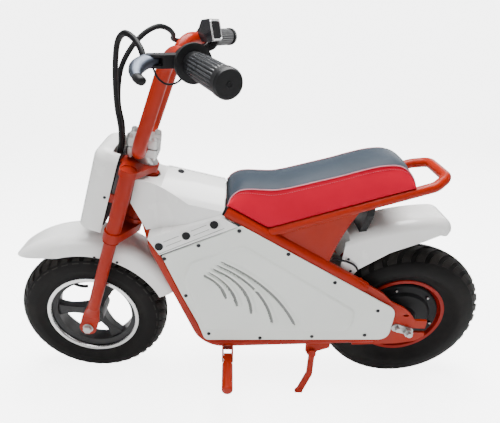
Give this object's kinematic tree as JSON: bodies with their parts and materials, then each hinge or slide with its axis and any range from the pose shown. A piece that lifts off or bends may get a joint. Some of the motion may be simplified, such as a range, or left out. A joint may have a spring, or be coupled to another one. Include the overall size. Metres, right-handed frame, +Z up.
{
  "type": "electric mini motorcycle",
  "caption": "Child's electric mini motorcycle: tube frame, moulded side covers, cast front wheel, hub motor, padded seat and side stand",
  "frame": {"origin": "on the ground under the middle of the overall box", "axes": "+X to the rear, +Y to the rider's right, +Z up; the bike leans 6 degrees to its left (-Y) on its side stand"},
  "size_m": [1.066, 0.5987, 0.8093],
  "materials": {
    "frame_paint": "gloss orange paint",
    "white_plastic": "moulded white plastic",
    "cover_plastic": "moulded pale plastic with a fine grain",
    "seat_cover": "red sides, grey top, pale piping",
    "black_plastic": "black plastic",
    "battery_case": "black battery case",
    "tyre_rubber": "black tyre rubber",
    "grip_rubber": "black grip rubber",
    "cable_rubber": "black cable sheath",
    "cast_black": "satin black casting with a turned lip",
    "motor_shell": "satin black casting",
    "rim_paint": "orange rim",
    "bright_steel": "zinc plated steel",
    "clamp_metal": "cast aluminium, polished top",
    "lever_metal": "grey lever blade",
    "display_case": "display box"
  },
  "bodies": {
    "chassis": {"head_tube": "frame_paint", "main_tube_left": "frame_paint", "main_tube_right": "frame_paint", "diagonal_tube_left": "frame_paint", "diagonal_tube_right": "frame_paint", "axle_plate_left": "frame_paint", "axle_plate_right": "frame_paint", "cross_tubes": "frame_paint", "seat_frame": "frame_paint", "battery_tray": "bright_steel", "battery_block": "battery_case", "tank_cover": "white_plastic", "side_cover_left": "cover_plastic", "side_cover_right": "cover_plastic", "trim_strip_left": "white_plastic", "trim_strip_right": "white_plastic", "strip_caps": "black_plastic", "seat_base": "black_plastic", "seat_cushion": "seat_cover", "rear_fender": "white_plastic", "fender_bracket": "black_plastic", "stand_bracket": "frame_paint", "peg_bracket_left": "frame_paint", "peg_bracket_right": "frame_paint", "rear_axle": "bright_steel"},
    "rear_wheel": {"rear_tyre": "tyre_rubber", "rear_rim": "rim_paint", "motor_hub": "motor_shell"},
    "steering": {"fork_crown": "frame_paint", "top_clamp": "frame_paint", "fork_leg_left": "frame_paint", "fork_leg_right": "frame_paint", "front_axle": "bright_steel", "bar_clamp": "clamp_metal", "handlebar": "frame_paint", "grip_left": "grip_rubber", "grip_right": "grip_rubber", "lever_bracket": "black_plastic", "brake_lever": "lever_metal", "display": "display_case", "front_shield": "white_plastic", "front_fender": "white_plastic", "loom_left": "cable_rubber", "loom_right": "cable_rubber", "switch_wire": "cable_rubber"},
    "front_wheel": {"front_tyre": "tyre_rubber", "front_rim": "cast_black"},
    "side_stand": {"side_stand": "frame_paint"},
    "peg_left": {"footpeg_left": "frame_paint"},
    "peg_right": {"footpeg_right": "frame_paint"}
  },
  "joints": [
    {"name": "steering", "type": "hinge", "parent": "chassis", "child": "steering", "pos_m": [-0.23174, 0.02905, 0.47168], "axis": [0.3173, -0.0991, 0.9431], "range_deg": [-25, 25]},
    {"name": "front_wheel_spin", "type": "hinge", "parent": "steering", "child": "front_wheel", "pos_m": [-0.363, 0.06084, 0.16929], "axis": [0, 0.9945, 0.1045], "continuous": true},
    {"name": "rear_wheel_spin", "type": "hinge", "parent": "chassis", "child": "rear_wheel", "pos_m": [0.353, 0.05979, 0.17923], "axis": [0, 0.9945, 0.1045], "continuous": true},
    {"name": "side_stand_fold", "type": "hinge", "parent": "chassis", "child": "side_stand", "pos_m": [0.147, -0.0045, 0.10209], "axis": [0, -0.9929, 0.1191], "range_deg": [0, 95]},
    {"name": "peg_left_fold", "type": "hinge", "parent": "chassis", "child": "peg_left", "pos_m": [-0.047, -0.01999, 0.09644], "axis": [-1, 0, 0], "range_deg": [0, 75]},
    {"name": "peg_right_fold", "type": "hinge", "parent": "chassis", "child": "peg_right", "pos_m": [-0.047, 0.15504, 0.11484], "axis": [1, 0, 0], "range_deg": [0, 75]}
  ]
}
